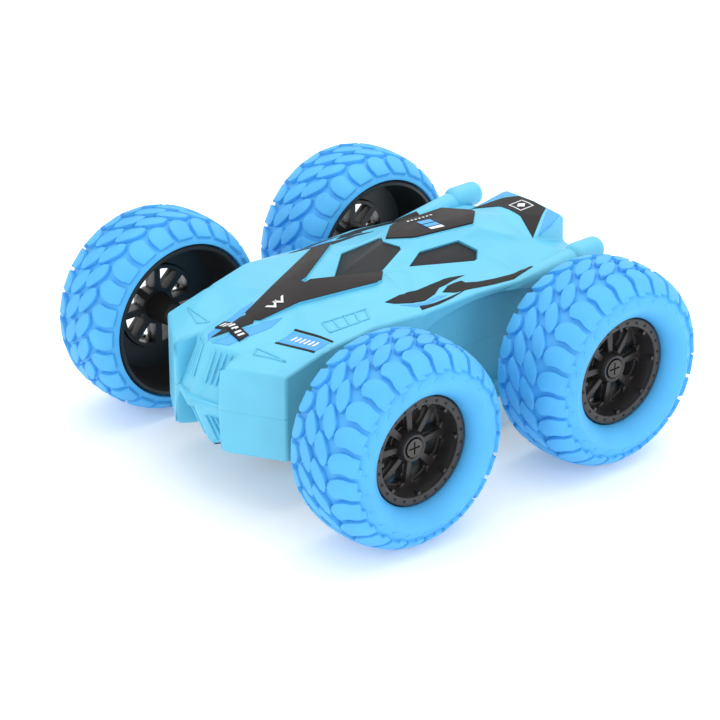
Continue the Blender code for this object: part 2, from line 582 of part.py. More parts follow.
def electrics():
    cell = rod_mesh("battery", BATTERY_RADIUS, -BATTERY_LENGTH / 2, BATTERY_LENGTH / 2, 20)
    cell.transform(Matrix.Rotation(math.radians(90), 4, "Z"))
    place("battery", cell, CELL_GREEN, BATTERY_CENTRE)

    board_z = WHEEL_RADIUS + 18.4 * MM
    board = box_mesh("circuit_board", (-8.4 * MM, -11 * MM, board_z), (8.4 * MM, 25 * MM, board_z + 1.2 * MM))
    place("circuit_board", board, BOARD_GREEN, smooth=False)

    wire = bpy.data.curves.new("antenna_wire", "CURVE")
    wire.dimensions = "3D"
    wire.bevel_depth = 0.4 * MM
    wire.bevel_resolution = 2
    wire.use_fill_caps = True
    spline = wire.splines.new("POLY")
    route = [(-6.5 * MM, (24 - 31 * i / 8) * MM, board_z + 2.0 * MM) for i in range(9)]
    spline.points.add(len(route) - 1)
    for point, place_at in zip(spline.points, route):
        point.co = (*place_at, 1)
    wire.materials.append(FRAME_BLACK)
    CAR.objects.link(bpy.data.objects.new("antenna_wire", wire))

    top = WHEEL_RADIUS - 16.8 * MM
    case = box_mesh("power_switch", (-4.3 * MM, SWITCH_Y - 1.9 * MM, top - 3.5 * MM),
                    (4.3 * MM, SWITCH_Y + 1.9 * MM, top))
    place("power_switch", case, STEEL, smooth=False)
    start = -SWITCH_TRAVEL / 2
    knob = box_mesh("switch_knob", (start - 1.2 * MM, SWITCH_Y - 1.0 * MM, top - 8.2 * MM),
                    (start + 1.2 * MM, SWITCH_Y + 1.0 * MM, top - 3.5 * MM - GAP), 0.2 * MM)
    place("switch_knob", knob, FRAME_BLACK, smooth=False)


# ---------------------------------------------------------------- assembly

clear_scene()
CAR = new_collection("stunt_car")
TOOLS = new_collection("cutters")

BODY_BLUE = new_material("body_blue", (0.10, 0.62, 0.82), 0.35)
TYRE_BLUE = new_material("tyre_blue", (0.08, 0.42, 0.85), 0.6)
RIM_BLACK = new_material("rim_black", (0.02, 0.018, 0.018), 0.35)
TRIM_DARK = new_material("trim_dark", (0.06, 0.055, 0.052), 0.4)
STEEL = new_material("steel", (0.55, 0.55, 0.56), 0.3, 1.0)
BRASS = new_material("brass", (0.72, 0.52, 0.22), 0.35, 1.0)
GEAR_WHITE = new_material("gear_white", (0.80, 0.80, 0.76), 0.45)
FRAME_BLACK = new_material("frame_black", (0.03, 0.03, 0.032), 0.5)
CELL_GREEN = new_material("cell_green", (0.05, 0.30, 0.12), 0.4)
BOARD_GREEN = new_material("board_green", (0.02, 0.22, 0.08), 0.5)

upper = shell("upper_shell", 1, UPPER_ROOMS)
lower = shell("lower_shell", -1, LOWER_ROOMS)
opening = box_mesh("door_opening", (-DOOR_HALF_WIDTH, DOOR_Y[0], WHEEL_RADIUS - 40 * MM),
                   (DOOR_HALF_WIDTH, DOOR_Y[1], WHEEL_RADIUS - DOOR_Z[0] + GAP))
boolean(lower, cutter("door_opening", opening))
pocket = box_mesh("switch_pocket", (-5.4 * MM, SWITCH_Y - 2.6 * MM, WHEEL_RADIUS - 40 * MM),
                  (5.4 * MM, SWITCH_Y + 2.6 * MM, WHEEL_RADIUS - 16.5 * MM))
boolean(lower, cutter("switch_pocket", pocket))

for level_name, level in (("upper", 1), ("lower", -1)):
    inlay(f"hood_panel_{level_name}", VEE_FACES, level, TRIM_DARK)
    inlay(f"windscreen_{level_name}", SCREEN_FACES, level, TRIM_DARK)
    for side_name, side in (("left", 1), ("right", -1)):
        inlay(f"side_window_{side_name}_{level_name}", GLASS_FACES, level, TRIM_DARK, (side,))
inlay("roof_panel", ROOF_FACES, 1, TRIM_DARK)
battery_door()
shell_screws()

for end_name, end in (("front", -1), ("rear", 1)):
    for side_name, side in (("left", 1), ("right", -1)):
        wheel(end_name, end, side_name, side)
for side_name, side in (("left", 1), ("right", -1)):
    side_gears(side_name, side)
electrics()
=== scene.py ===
"""Finished look of the double-sided stunt car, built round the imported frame."""
import json
import math

import bmesh
import bpy
from mathutils import Matrix, Vector
from mathutils.bvhtree import BVHTree


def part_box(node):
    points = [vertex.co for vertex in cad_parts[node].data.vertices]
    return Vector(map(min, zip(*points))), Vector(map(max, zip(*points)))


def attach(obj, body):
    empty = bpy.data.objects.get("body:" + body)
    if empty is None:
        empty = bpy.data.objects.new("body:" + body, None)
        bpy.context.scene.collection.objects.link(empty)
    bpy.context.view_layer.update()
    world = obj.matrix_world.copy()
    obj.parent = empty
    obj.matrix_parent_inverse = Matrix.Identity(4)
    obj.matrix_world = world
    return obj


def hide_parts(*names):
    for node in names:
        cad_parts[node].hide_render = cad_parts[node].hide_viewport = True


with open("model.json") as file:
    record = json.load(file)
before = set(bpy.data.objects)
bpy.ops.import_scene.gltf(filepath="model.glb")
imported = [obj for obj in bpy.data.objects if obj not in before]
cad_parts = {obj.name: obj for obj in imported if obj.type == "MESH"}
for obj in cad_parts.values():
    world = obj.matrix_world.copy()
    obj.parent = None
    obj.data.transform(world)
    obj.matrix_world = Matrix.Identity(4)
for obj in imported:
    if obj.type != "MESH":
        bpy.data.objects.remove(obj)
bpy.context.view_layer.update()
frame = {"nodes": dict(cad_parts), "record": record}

MM = 0.001
NODES = frame["nodes"]
ENDS = ("front", "rear")
SIDES = (("left", 1), ("right", -1))
LEVELS = (("upper", 1), ("lower", -1))

# The frame's own sizes
TYRE_LOW, TYRE_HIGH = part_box("tyre_front_left")
WHEEL_RADIUS = (TYRE_HIGH[2] - TYRE_LOW[2]) / 2
AXLE_Z = (TYRE_HIGH[2] + TYRE_LOW[2]) / 2
CENTRES = {joint["child"]: Vector(joint["pos_m"])
           for joint in frame["record"]["behaviour"]["joints"] if "pos_m" in joint}

# Tyre and tread
TREAD_COUNT = 24
TREAD_HEIGHT = 1.5 * MM
CARCASS_RADIUS = WHEEL_RADIUS - TREAD_HEIGHT
CARCASS_HALF_WIDTH = 15.4 * MM
CARCASS_MIDDLE = 19.0 * MM
CARCASS_POWER = 2 / 2.5
# Lugs get lower from SHOULDER_START on, by LUG_FADE at most
SHOULDER_START = 10.0 * MM
SHOULDER_FADE = 14.0 * MM
LUG_FADE = 0.45
BLOCK_SINK = 0.4 * MM
LEAF_SIZE = (9.8, 4.1)
LEAF_TILT = math.radians(25)
LEAF_ROW = 2.8
TREAD_PITCH = math.tau * CARCASS_RADIUS / TREAD_COUNT

# Rim
FLANGE_X = 10.2 * MM
FLANGE_RADIUS = 16.5 * MM
WINDOW_COUNT = 8
DOT_COUNT = 24

# Camera: where the car is looked at from
VIEW_AZIMUTH = math.radians(50.2)
VIEW_ELEVATION = math.radians(26.0)
VIEW_DISTANCE = 0.884
VIEW_AIM = Vector((3.7 * MM, -5.8 * MM, AXLE_Z))
VIEW_LENS = 148.6
VIEW_SHIFT = (-0.0094, -0.0247)


# Corner points of one quarter of the body, in millimetres from the car's centre:
# x outwards, y rearwards, z away from the parting plane.
CORNERS = {
    "nose_ridge": (0, -68.5, 0), "nose_ridge_side": (9.2, -65, 0),
    "nose_tip": (0, -62, 16), "nose_top_side": (9.2, -57.5, 14.6),
    "block_in_low": (10.4, -66.3, 0), "block_in_top": (10.4, -66.3, 13.4),
    "block_out_low": (28, -55.5, 0), "block_out_top": (28, -55.5, 13.4),
    "crease_mid": (0, -46, 19.4), "vee_edge_front": (3.2, -46.5, 18.6),
    "vee_edge_mid": (8, -34.5, 21.2), "vee_split": (0, -25.8, 24.4),
    "vee_outer": (15.9, -10.2, 24.8), "vee_inner": (12.6, -5, 25.6),
    "hood_valley": (12, -44, 17.0),
    "screen_foot": (0, -16, 22.4), "screen_side": (9.7, -2.6, 24.0),
    "screen_top": (5.1, 7.2, 27.9), "roof_tip": (0, 3.9, 29.1),
    "roof_front": (6, 10.7, 29.5), "roof_rear": (8.4, 33.3, 28.4), "roof_tail": (0, 40.5, 28.1),
    "glass_low_front": (12, 2.9, 24.1), "glass_up_front": (8.2, 9.5, 27.4),
    "glass_up_rear": (9.6, 27.5, 26.8), "glass_rear": (14.4, 30.6, 23.0),
    "glass_low_rear": (16.2, 26.6, 21.4),
    "shoulder_1": (28, -40, 17.6), "shoulder_2": (29.5, -26, 20.0), "shoulder_3": (29.5, -5, 18.8),
    "shoulder_4": (29.5, 16, 19.2), "shoulder_5": (29, 37, 17.4), "shoulder_6": (28.5, 60, 16.5),
    "deck_centre": (0, 50, 24.8), "deck_side": (14.5, 50, 21.2),
    "wing_centre": (0, 64.5, 25.4), "wing_corner": (13.2, 64.8, 24.6),
    "wing_drop": (13.2, 65, 16.5), "wing_drop_centre": (0, 65, 16.5),
    "tail_low": (0, 63.5, 0), "tail_low_mid": (13.2, 63, 0), "tail_low_out": (28, 58, 0),
    "side_low_1": (28, -40, 0), "side_low_2": (27.5, -26, 0), "side_low_3": (25.0, -5, 0),
    "side_low_4": (25.0, 16, 0), "side_low_5": (25.0, 37, 0),
}

VEE_FACES = [
    ("nose_tip", "vee_edge_front", "crease_mid"),
    ("crease_mid", "vee_edge_front", "vee_edge_mid", "vee_split"),
    ("vee_split", "vee_edge_mid", "vee_outer", "vee_inner"),
]
SCREEN_FACES = [("screen_foot", "screen_side", "screen_top", "roof_tip")]
ROOF_FACES = [("roof_tip", "roof_front", "roof_rear", "roof_tail")]
GLASS_FACES = [("glass_low_front", "glass_low_rear", "glass_rear", "glass_up_rear", "glass_up_front")]
SHELL_FACES = [
    ("nose_ridge", "nose_ridge_side", "nose_top_side", "nose_tip"),
    ("nose_ridge_side", "block_in_low", "block_in_top"),
    ("nose_ridge_side", "block_in_top", "nose_top_side"),
    ("block_in_low", "block_out_low", "block_out_top", "block_in_top"),
    ("nose_tip", "nose_top_side", "hood_valley", "vee_edge_front"),
    ("vee_edge_front", "hood_valley", "vee_edge_mid"),
    ("nose_top_side", "block_in_top", "hood_valley"),
    ("block_in_top", "block_out_top", "shoulder_1", "hood_valley"),
    ("vee_edge_mid", "hood_valley", "shoulder_1"),
    ("vee_edge_mid", "shoulder_1", "shoulder_2"),
    ("vee_edge_mid", "shoulder_2", "vee_outer"),
    ("vee_outer", "shoulder_2", "shoulder_3"),
    ("vee_split", "vee_inner", "screen_side", "screen_foot"),
    ("vee_inner", "vee_outer", "shoulder_3", "glass_low_front"),
    ("vee_inner", "glass_low_front", "screen_side"),
    ("screen_side", "glass_low_front", "glass_up_front", "screen_top"),
    ("screen_top", "glass_up_front", "roof_front"),
    ("screen_top", "roof_front", "roof_tip"),
    ("roof_front", "glass_up_front", "glass_up_rear", "roof_rear"),
    ("glass_low_front", "shoulder_3", "shoulder_4"),
    ("glass_low_front", "shoulder_4", "glass_low_rear"),
    ("glass_low_rear", "shoulder_4", "shoulder_5"),
    ("glass_low_rear", "shoulder_5", "glass_rear"),
    ("glass_rear", "shoulder_5", "deck_side"),
    ("shoulder_5", "shoulder_6", "deck_side"),
    ("glass_up_rear", "glass_rear", "deck_side", "roof_rear"),
    ("roof_rear", "deck_side", "deck_centre", "roof_tail"),
    ("deck_centre", "deck_side", "wing_corner", "wing_centre"),
    ("deck_side", "shoulder_6", "wing_drop"),
    ("deck_side", "wing_drop", "wing_corner"),
    ("wing_corner", "wing_drop", "wing_drop_centre", "wing_centre"),
    ("wing_drop_centre", "wing_drop", "tail_low_mid", "tail_low"),
    ("wing_drop", "shoulder_6", "tail_low_out", "tail_low_mid"),
    ("block_out_low", "side_low_1", "shoulder_1", "block_out_top"),
    ("side_low_1", "side_low_2", "shoulder_2", "shoulder_1"),
    ("side_low_2", "side_low_3", "shoulder_3", "shoulder_2"),
    ("side_low_3", "side_low_4", "shoulder_4", "shoulder_3"),
    ("side_low_4", "side_low_5", "shoulder_5", "shoulder_4"),
    ("side_low_5", "tail_low_out", "shoulder_6", "shoulder_5"),
    ("nose_ridge", "nose_ridge_side", "block_in_low", "block_out_low", "side_low_1", "side_low_2",
     "side_low_3", "side_low_4", "side_low_5", "tail_low_out", "tail_low_mid", "tail_low"),
]

FACE_GROUPS = (SHELL_FACES, VEE_FACES, SCREEN_FACES, ROOF_FACES, GLASS_FACES)
HOOD, SCREEN, ROOF, GLASS = 1, 2, 3, 4
PARTING_GAP = 0.02 * MM

# Room inside each shell: half width, y range and depth from the parting plane
UPPER_ROOMS = (
    (21.8, -50.5, 50.5, 12.0),
    (21.7, -14.8, 14.8, 18.9),
    (17.3, -15.2, 15.2, 20.1),
    (17.2, -21.0, 21.0, 14.2),
    (14.0, -26.5, 26.5, 17.4),
    (9.2, -12.0, 38.0, 22.0),
)
LOWER_ROOMS = (
    (21.8, -50.5, 50.5, 12.0),
    (8.2, 7.6, 47.0, 25.0),
)


# Arched recess in each side wall between the wheels, as (y, height from the parting plane)
SIDE_RECESS = (
    (-13.0, -1.0), (-12.2, 3.0), (-9.8, 7.4), (-5.6, 11.4), (0.0, 14.2), (6.5, 16.0), (14.0, 17.0),
    (23.0, 16.8), (32.0, 15.6), (40.0, 13.8), (46.0, 12.0), (47.5, 8.0), (47.5, -1.0),
)

POD_PLACE = (27.6, 62.6, 18.9)
POD_RADIUS = 3.8
RIDGE_START, RIDGE_HEIGHT, RIDGE_FRONT_RADIUS = 27.0, 15.4, 2.6
SCREW_PLACES = ((17.0, -54.5), (21.0, 54.5))
RECESS_X = 24.4
AXLE_BORE = 3.6
SCREW_BORE = 1.6
SCREW_WELL = 3.1
EDGE_ROUND = 0.85 * MM
PRINT_GRID = 0.5 * MM
DOOR_BOX = ((-8.2, 7.6), (8.2, 47.0), 24.1)
SWITCH_BOX = ((-5.4, 51.4), (5.4, 56.6), 16.5)
# Inner corner of the tail chevron; underneath it stays clear of the switch opening
CHEVRON_INNER = {"upper": (5.0, 54.2), "lower": (6.4, 57.4)}


# ---------------------------------------------------------------- materials

def moulded(name, colour, roughness, mottle=0.06, grain=0.02, coat=0.0, metallic=0.0, shine=0.5):
    """Moulded plastic or metal: soft cloudiness in the colour, uneven gloss and a fine grain."""
    material = bpy.data.materials.new(name)
    material.use_nodes = True
    nodes, links = material.node_tree.nodes, material.node_tree.links
    shader = nodes["Principled BSDF"]
    shader.inputs["Metallic"].default_value = metallic
    shader.inputs["Coat Weight"].default_value = coat
    shader.inputs["Specular IOR Level"].default_value = shine
    shader.inputs["Coat Roughness"].default_value = 0.2
    place = nodes.new("ShaderNodeTexCoord")

    cloud = nodes.new("ShaderNodeTexNoise")
    cloud.inputs["Scale"].default_value = 90
    cloud.inputs["Detail"].default_value = 4
    links.new(place.outputs["Object"], cloud.inputs["Vector"])
    ramp = nodes.new("ShaderNodeValToRGB")
    ramp.color_ramp.elements[0].position = 0.35
    ramp.color_ramp.elements[1].position = 0.65
    ramp.color_ramp.elements[0].color = (*[c * (1 - mottle) for c in colour], 1)
    ramp.color_ramp.elements[1].color = (*[min(1, c * (1 + mottle)) for c in colour], 1)
    links.new(cloud.outputs["Fac"], ramp.inputs["Fac"])
    links.new(ramp.outputs["Color"], shader.inputs["Base Color"])

    gloss = nodes.new("ShaderNodeMapRange")
    gloss.inputs["To Min"].default_value = roughness - 0.06
    gloss.inputs["To Max"].default_value = roughness + 0.06
    smear = nodes.new("ShaderNodeTexNoise")
    smear.inputs["Scale"].default_value = 260
    links.new(place.outputs["Object"], smear.inputs["Vector"])
    links.new(smear.outputs["Fac"], gloss.inputs["Value"])
    links.new(gloss.outputs["Result"], shader.inputs["Roughness"])

    speck = nodes.new("ShaderNodeTexNoise")
    speck.inputs["Scale"].default_value = 2600
    speck.inputs["Detail"].default_value = 2
    links.new(place.outputs["Object"], speck.inputs["Vector"])
    bump = nodes.new("ShaderNodeBump")
    bump.inputs["Strength"].default_value = grain * 5
    bump.inputs["Distance"].default_value = 0.05 * MM
    links.new(speck.outputs["Fac"], bump.inputs["Height"])
    links.new(bump.outputs["Normal"], shader.inputs["Normal"])
    return material


SHELL_CYAN = moulded("shell_cyan", (0.135, 0.56, 0.78), 0.40, 0.03, 0.01)
SOFT_BLUE = moulded("soft_tyre_blue", (0.085, 0.45, 0.85), 0.55, 0.05, 0.05, shine=0.35)
RIM_BLACK = moulded("rim_black", (0.022, 0.019, 0.018), 0.36, 0.15, 0.03, coat=0.05)
TRIM_BROWN = moulded("trim_grey_brown", (0.016, 0.013, 0.013), 0.48, 0.10, 0.03, shine=0.3)
GLASS_DARK = moulded("window_dark", (0.022, 0.024, 0.027), 0.5, 0.08, 0.02, shine=0.3)
# Black for the prints, and also for the rim's dots, which are painted shade for the flange's notches
PRINT_AND_NOTCH_SHADE_BLACK = moulded("print_and_notch_shade_black", (0.010, 0.008, 0.008), 0.5, 0.10, 0.01, shine=0.3)
PRINT_SKY = moulded("print_sky", (0.075, 0.40, 0.90), 0.40, 0.04, 0.01)
PRINT_WHITE = moulded("print_white", (0.86, 0.90, 0.92), 0.45, 0.03, 0.01)
SCREW_STEEL = moulded("screw_black_steel", (0.09, 0.085, 0.08), 0.33, 0.15, 0.03, metallic=0.9)
PLATED_STEEL = moulded("plated_steel", (0.58, 0.58, 0.60), 0.28, 0.05, 0.03, metallic=1.0)
BRASS = moulded("turned_brass", (0.74, 0.54, 0.24), 0.30, 0.06, 0.03, metallic=1.0)
NYLON = moulded("gear_nylon", (0.80, 0.80, 0.74), 0.42, 0.04, 0.03)
FRAME_BLACK = moulded("frame_black", (0.03, 0.03, 0.032), 0.5, 0.1, 0.05)
CELL_GREEN = moulded("cell_sleeve", (0.05, 0.30, 0.12), 0.35, 0.08, 0.01, coat=0.3)
BOARD_GREEN = moulded("board_green", (0.02, 0.20, 0.07), 0.4, 0.2, 0.03, coat=0.2)


# ---------------------------------------------------------------- helpers

def finish_piece(name, bm, material, body, sharp=35):
    """Turn a bmesh into a finished piece that rides on a body."""
    mesh = bpy.data.meshes.new(name)
    bm.to_mesh(mesh)
    bm.free()
    mesh.materials.append(material)
    mesh.shade_smooth()
    mesh.set_sharp_from_angle(angle=math.radians(sharp))
    piece = bpy.data.objects.new(name, mesh)
    bpy.context.scene.collection.objects.link(piece)
    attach(piece, body)
    return piece


def add_modifier(piece, kind, **values):
    modifier = piece.modifiers.new(kind.lower(), kind)
    for key, value in values.items():
        setattr(modifier, key, value)
    return modifier


def bevel_all(bm, edges, offset, segments=2):
    bmesh.ops.bevel(bm, geom=edges, offset=offset, segments=segments, profile=0.5, affect="EDGES",
                    material=-1, clamp_overlap=True)


def turned(bm, profile, segments):
    """Spin a closed profile of (x, radius) points, in millimetres, about the X axis."""
    ring = [bm.verts.new((x * MM, 0, -radius * MM)) for x, radius in profile]
    edges = [bm.edges.new((ring[i], ring[(i + 1) % len(ring)])) for i in range(len(ring))]
    bmesh.ops.spin(bm, geom=ring + edges, cent=(0, 0, 0), axis=(1, 0, 0), dvec=(0, 0, 0),
                   angle=math.tau, steps=segments, use_merge=True)


def to_wheel(bm, centre, side):
    """Move a wheel piece, made with +X outwards, to its place on the car."""
    if side < 0:
        bmesh.ops.scale(bm, vec=(-1, 1, 1), verts=bm.verts)
    bmesh.ops.translate(bm, vec=centre, verts=bm.verts)
    bmesh.ops.recalc_face_normals(bm, faces=bm.faces)


def arc_points(x, radius, arc_radius, start, end, count):
    """Points on a small round, in millimetres, for a turned profile."""
    points = []
    for i in range(count):
        angle = math.radians(start + (end - start) * i / (count - 1))
        points.append((x + arc_radius * math.cos(angle), radius + arc_radius * math.sin(angle)))
    return points


# ---------------------------------------------------------------- tyres

def carcass_samples():
    """The carcass outline from the crown outwards, as (distance along it, x, radius)."""
    samples = []
    travelled = 0.0
    last = None
    for i in range(161):
        angle = math.pi / 2 * (1 - i / 160)
        c, s = math.cos(angle), math.sin(angle)
        x = CARCASS_HALF_WIDTH * c ** CARCASS_POWER if c > 1e-9 else 0.0
        radius = CARCASS_MIDDLE + (CARCASS_RADIUS - CARCASS_MIDDLE) * max(s, 0) ** CARCASS_POWER
        if last:
            travelled += math.hypot(x - last[0], radius - last[1])
        samples.append((travelled, x, radius))
        last = (x, radius)
    return samples


CARCASS = carcass_samples()


def on_carcass(along):
    """Point and outward normal on the carcass at a distance along it from the crown."""
    distance = min(abs(along), CARCASS[-1][0] - 1e-6)
    low = 0
    while CARCASS[low + 1][0] < distance:
        low += 1
    a, b = CARCASS[low], CARCASS[low + 1]
    share = (distance - a[0]) / (b[0] - a[0])
    x, radius = a[1] + (b[1] - a[1]) * share, a[2] + (b[2] - a[2]) * share
    length = math.hypot(b[1] - a[1], b[2] - a[2])
    normal_x, normal_r = -(b[2] - a[2]) / length, (b[1] - a[1]) / length
    return math.copysign(x, along), radius, math.copysign(normal_x, along), normal_r


def wrap_tread(bm):
    """Wrap flat tread (x round the tyre, y across it, z height) onto the carcass."""
    for vert in bm.verts:
        x, radius, normal_x, normal_r = on_carcass(vert.co.y)
        angle = vert.co.x / CARCASS_RADIUS
        past = max(0.0, abs(vert.co.y) - SHOULDER_START) / SHOULDER_FADE
        height = vert.co.z * (1 - min(LUG_FADE, past) if vert.co.z > 0 else 1)
        radius += normal_r * height
        vert.co = Vector((x + normal_x * height, radius * math.cos(angle), radius * math.sin(angle)))


def flat_block(bm, outline, height, cuts=(), round_off=0.35):
    """A raised block of the flat tread, from an outline in millimetres."""
    verts = [bm.verts.new((u * MM, s * MM, -BLOCK_SINK)) for u, s in outline]
    face = bm.faces.new(verts)
    geometry = [face] + list(face.edges) + verts
    for cut in cuts:
        cut_result = bmesh.ops.bisect_plane(bm, geom=geometry, plane_co=(0, cut * MM, 0), plane_no=(0, 1, 0),
                                            dist=1e-7)
        geometry = cut_result["geom"]
    base = [item for item in geometry if isinstance(item, bmesh.types.BMFace)]
    for piece in base:
        piece.normal_update()
        if piece.normal.z < 0:
            piece.normal_flip()
    raised = bmesh.ops.extrude_face_region(bm, geom=base)["geom"]
    tops = [item for item in raised if isinstance(item, bmesh.types.BMFace)]
    top_verts = [item for item in raised if isinstance(item, bmesh.types.BMVert)]
    bmesh.ops.translate(bm, vec=(0, 0, height + BLOCK_SINK), verts=top_verts)
    rims = [edge for edge in {e for t in tops for e in t.edges}
            if sum(f in tops for f in edge.link_faces) == 1]
    bevel_all(bm, rims, round_off * MM, 2)


def leaf(middle_u, middle_s, length, width, tilt):
    """An S-curved link with pointed ends, as an outline."""
    top, bottom = [], []
    for i in range(9):
        t = -1 + i / 4
        bend = 0.25 * math.sin(math.pi * t)
        half = width / 2 * (1 - t * t) ** 0.55
        top.append((length / 2 * t, bend + half))
        if 0 < i < 8:
            bottom.append((length / 2 * t, bend - half))
    c, d = math.cos(tilt), math.sin(tilt)
    return [(middle_u + u * c - v * d, middle_s + u * d + v * c) for u, v in top + bottom[::-1]]


def tread_period():
    """One repeat of the tread, laid flat: two braided leaves, a lug each side and its side marks."""
    bm = bmesh.new()
    pitch = TREAD_PITCH / MM
    flat_block(bm, leaf(0, LEAF_ROW, *LEAF_SIZE, LEAF_TILT), TREAD_HEIGHT, (1.5, 2.9, 4.3), 0.4)
    flat_block(bm, leaf(pitch / 2, -LEAF_ROW, *LEAF_SIZE, LEAF_TILT), TREAD_HEIGHT, (-1.5, -2.9, -4.3), 0.4)
    head = [(-2.6, 7.5), (-1.4, 6.5), (0.2, 6.1), (1.7, 6.6), (3.0, 7.9), (2.7, 9.2)]
    outer_lug = head + [(2.4, 10.4), (2.7, 11.6), (3.2, 12.8), (3.2, 15.1), (0.4, 15.5), (0.2, 14.6),
                        (-2.9, 14.6), (-3.1, 12.6), (-3.6, 11.0), (-3.4, 9.2)]
    inner_lug = head + [(2.5, 11.0), (2.8, 13.4), (-3.0, 13.4), (-3.6, 11.0), (-3.4, 9.2)]
    cuts = (8, 9.5, 11, 12.2, 13.4, 14.5)
    lug_u = 2.2
    flat_block(bm, [(lug_u + u, s) for u, s in outer_lug], TREAD_HEIGHT, cuts)
    flat_block(bm, [(lug_u + pitch / 2 - u, -s) for u, s in inner_lug], TREAD_HEIGHT,
               [-cut for cut in cuts[:4]])
    flat_block(bm, [(4.6, 16.4), (6.2, 16.9), (6.2, 17.6), (4.6, 17.1)], 0.3 * MM, (), 0.1)
    return bm


def tyre(tag, body, side):
    """A whole tyre: the tread repeated round the carcass, the sidewalls and the seat for the rim."""
    bm = tread_period()
    first = bm.verts[:] + bm.edges[:] + bm.faces[:]
    for index in range(1, TREAD_COUNT):
        copy = bmesh.ops.duplicate(bm, geom=first)["geom"]
        bmesh.ops.translate(bm, vec=(index * TREAD_PITCH, 0, 0),
                            verts=[item for item in copy if isinstance(item, bmesh.types.BMVert)])
    wrap_tread(bm)
    step = len(CARCASS) // 20
    outline = [(x / MM, r / MM) for _, x, r in CARCASS[::step]]
    outside = [point for point in outline if point[1] > 23.0]
    outer_lip = [(15.3, 22.2), (14.9, 20.9), (14.1, 19.5), (13.0, 18.3), (11.7, 17.4),
                 (FLANGE_X / MM - 0.2, FLANGE_RADIUS / MM + 0.25)]
    seat = [(7.6, 17.4), (4.4, 17.9), (3.0, 21.9), (-12.9, 24.4), (-13.6, 24.6)]
    inside = [(-x, r) for x, r in outline[::-1] if r > 25.0]
    profile = outside + outer_lip + seat + inside[:-1]
    turned(bm, profile, 96)
    to_wheel(bm, CENTRES[body], side)
    piece = finish_piece(f"tyre_soft_{tag}", bm, SOFT_BLUE, body, 40)
    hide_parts(f"tyre_{tag}")


# ---------------------------------------------------------------- rims

def sector(bm, inner, outer, half_angle, middle, x, arc_steps=5):
    """A flat ring sector facing +X, as one face."""
    points = []
    for i in range(arc_steps + 1):
        points.append((outer, middle - half_angle + 2 * half_angle * i / arc_steps))
    for i in range(arc_steps + 1):
        points.append((inner, middle + half_angle - 2 * half_angle * i / arc_steps))
    verts = [bm.verts.new((x * MM, r * MM * math.cos(a), r * MM * math.sin(a))) for r, a in points]
    face = bm.faces.new(verts)
    face.normal_update()
    if face.normal.x < 0:
        face.normal_flip()
    return face


def extrude_x(bm, faces, depth):
    grown = bmesh.ops.extrude_face_region(bm, geom=faces)["geom"]
    bmesh.ops.translate(bm, vec=(depth * MM, 0, 0),
                        verts=[item for item in grown if isinstance(item, bmesh.types.BMVert)])
    return [item for item in grown if isinstance(item, bmesh.types.BMFace)]


def window_frame(bm, inner, outer, half_angle, middle, x, depth, border):
    """A sector plate with a window in it: inset, opened and given its thickness."""
    face = sector(bm, inner, outer, half_angle, middle, x)
    ring = bmesh.ops.inset_individual(bm, faces=[face], thickness=border * MM, depth=0,
                                      use_even_offset=True)["faces"]
    bmesh.ops.delete(bm, geom=[face], context="FACES_ONLY")
    top = extrude_x(bm, ring, depth)
    edges = [edge for edge in {e for f in top for e in f.edges}
             if sum(f in top for f in edge.link_faces) == 1]
    bevel_all(bm, edges, 0.22 * MM, 2)


def raised_spoke(bm, angle):
    """A T-shaped rib: narrow at the hub, flared into a crown at the rim."""
    rib = bmesh.new()
    for low, high, low_width, high_width, low_x, high_x in (
            (4.2, 12.6, 1.7, 2.6, 5.8, 5.0), (11.6, 13.1, 3.8, 7.2, 4.9, 4.9)):
        bar = bmesh.ops.create_cube(rib, size=1)["verts"]
        for vert in bar:
            outer = vert.co.z > 0
            front = high_x if outer else low_x
            width = high_width if outer else low_width
            x = front if vert.co.x > 0 else 3.0
            vert.co = Vector((x, vert.co.y * width, high if outer else low)) * MM
    bevel_all(rib, rib.edges[:], 0.25 * MM, 2)
    bmesh.ops.rotate(rib, cent=(0, 0, 0), matrix=Matrix.Rotation(angle, 3, "X"), verts=rib.verts)
    mesh = bpy.data.meshes.new("rib")
    rib.to_mesh(mesh)
    rib.free()
    bm.from_mesh(mesh)
    bpy.data.meshes.remove(mesh)


